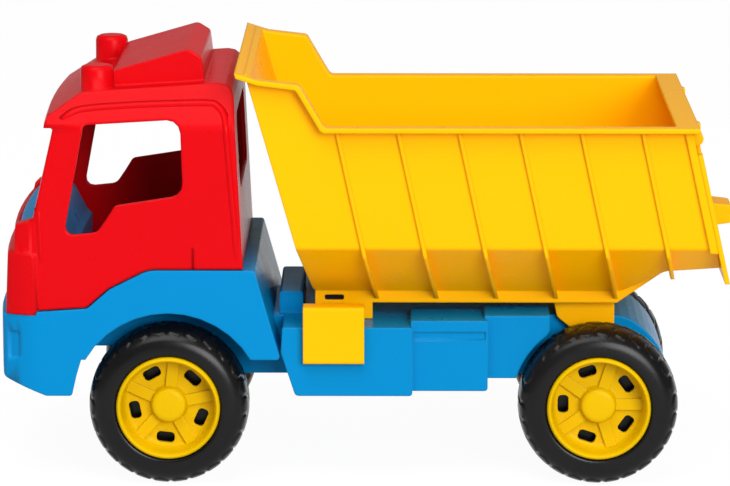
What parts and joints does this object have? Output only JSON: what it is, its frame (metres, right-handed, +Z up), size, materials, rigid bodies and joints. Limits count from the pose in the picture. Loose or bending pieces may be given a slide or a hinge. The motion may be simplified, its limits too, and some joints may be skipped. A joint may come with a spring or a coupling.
{
  "type": "toy dump truck",
  "caption": "Toy dump truck with an open-window cab, a ribbed tub that tips over the rear axle, a top-hung tailgate and wheel pairs that roll on steel axles.",
  "frame": {"origin": "on the ground, at the centre of the truck's bounding rectangle", "axes": "-X towards the front of the truck, +Y across to its right side, +Z up"},
  "size_m": [0.463, 0.226, 0.2706],
  "materials": {
    "blue_plastic": "gloss",
    "red_plastic": "gloss",
    "yellow_plastic": "gloss",
    "black_tyre": "satin",
    "steel": "drawn wire"
  },
  "bodies": {
    "chassis": {"chassis": "blue_plastic", "cab_shell": "red_plastic", "dashboard": "blue_plastic", "side_locker_left": "yellow_plastic", "side_locker_right": "yellow_plastic", "tub_hinge_rod": "steel", "cab_screw_front_left": "steel", "cab_screw_front_right": "steel", "cab_screw_rear_left": "steel", "cab_screw_rear_right": "steel"},
    "tub": {"tub": "yellow_plastic", "tailgate_hinge_rod": "steel"},
    "tailgate": {"tailgate": "yellow_plastic"},
    "front_wheels": {"front_axle": "steel", "tyre_front_left": "black_tyre", "tyre_front_right": "black_tyre", "wheel_disc_front_left": "yellow_plastic", "wheel_disc_front_right": "yellow_plastic"},
    "rear_wheels": {"rear_axle": "steel", "tyre_rear_left": "black_tyre", "tyre_rear_right": "black_tyre", "wheel_disc_rear_left": "yellow_plastic", "wheel_disc_rear_right": "yellow_plastic"}
  },
  "joints": [
    {"name": "tub_tip", "type": "hinge", "parent": "chassis", "child": "tub", "pos_m": [0.146, 0, 0.093], "axis": [0, 1, 0], "range_deg": [0, 45]},
    {"name": "tailgate_swing", "type": "hinge", "parent": "tub", "child": "tailgate", "pos_m": [0.2016, 0, 0.2215], "axis": [0, -1, 0], "range_deg": [0, 70]},
    {"name": "front_wheels_roll", "type": "hinge", "parent": "chassis", "child": "front_wheels", "pos_m": [-0.124, 0, 0.05], "axis": [0, 1, 0], "continuous": true},
    {"name": "rear_wheels_roll", "type": "hinge", "parent": "chassis", "child": "rear_wheels", "pos_m": [0.144, 0, 0.05], "axis": [0, 1, 0], "continuous": true}
  ]
}
